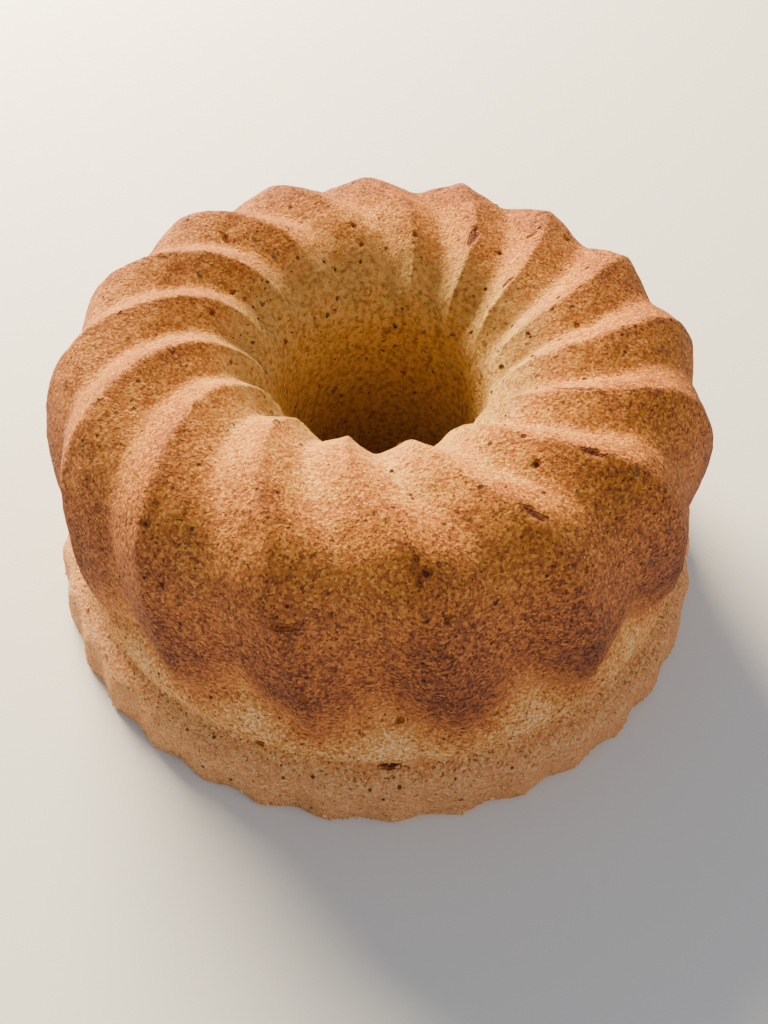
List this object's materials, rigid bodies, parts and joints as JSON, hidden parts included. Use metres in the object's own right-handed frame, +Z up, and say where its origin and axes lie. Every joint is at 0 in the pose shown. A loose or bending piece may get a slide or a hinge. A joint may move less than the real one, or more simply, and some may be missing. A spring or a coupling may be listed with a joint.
{
  "type": "nut ring cake",
  "caption": "Uncut golden-brown nut cake from a swirled fluted ring tin, with a hole through its middle and a wide pleated foot that it stands on.",
  "frame": {"origin": "middle of the hole, on the flat underside that the cake stands on", "axes": "+Z up along the hole's axis, +X and +Y level; the cake was looked at along +Y from above"},
  "size_m": [0.2198, 0.2198, 0.0955],
  "materials": {
    "crust": "dry matt baked crumb, browned on the ridges and paler in the grooves"
  },
  "bodies": {
    "root": {"ring_cake": "crust"}
  },
  "joints": []
}
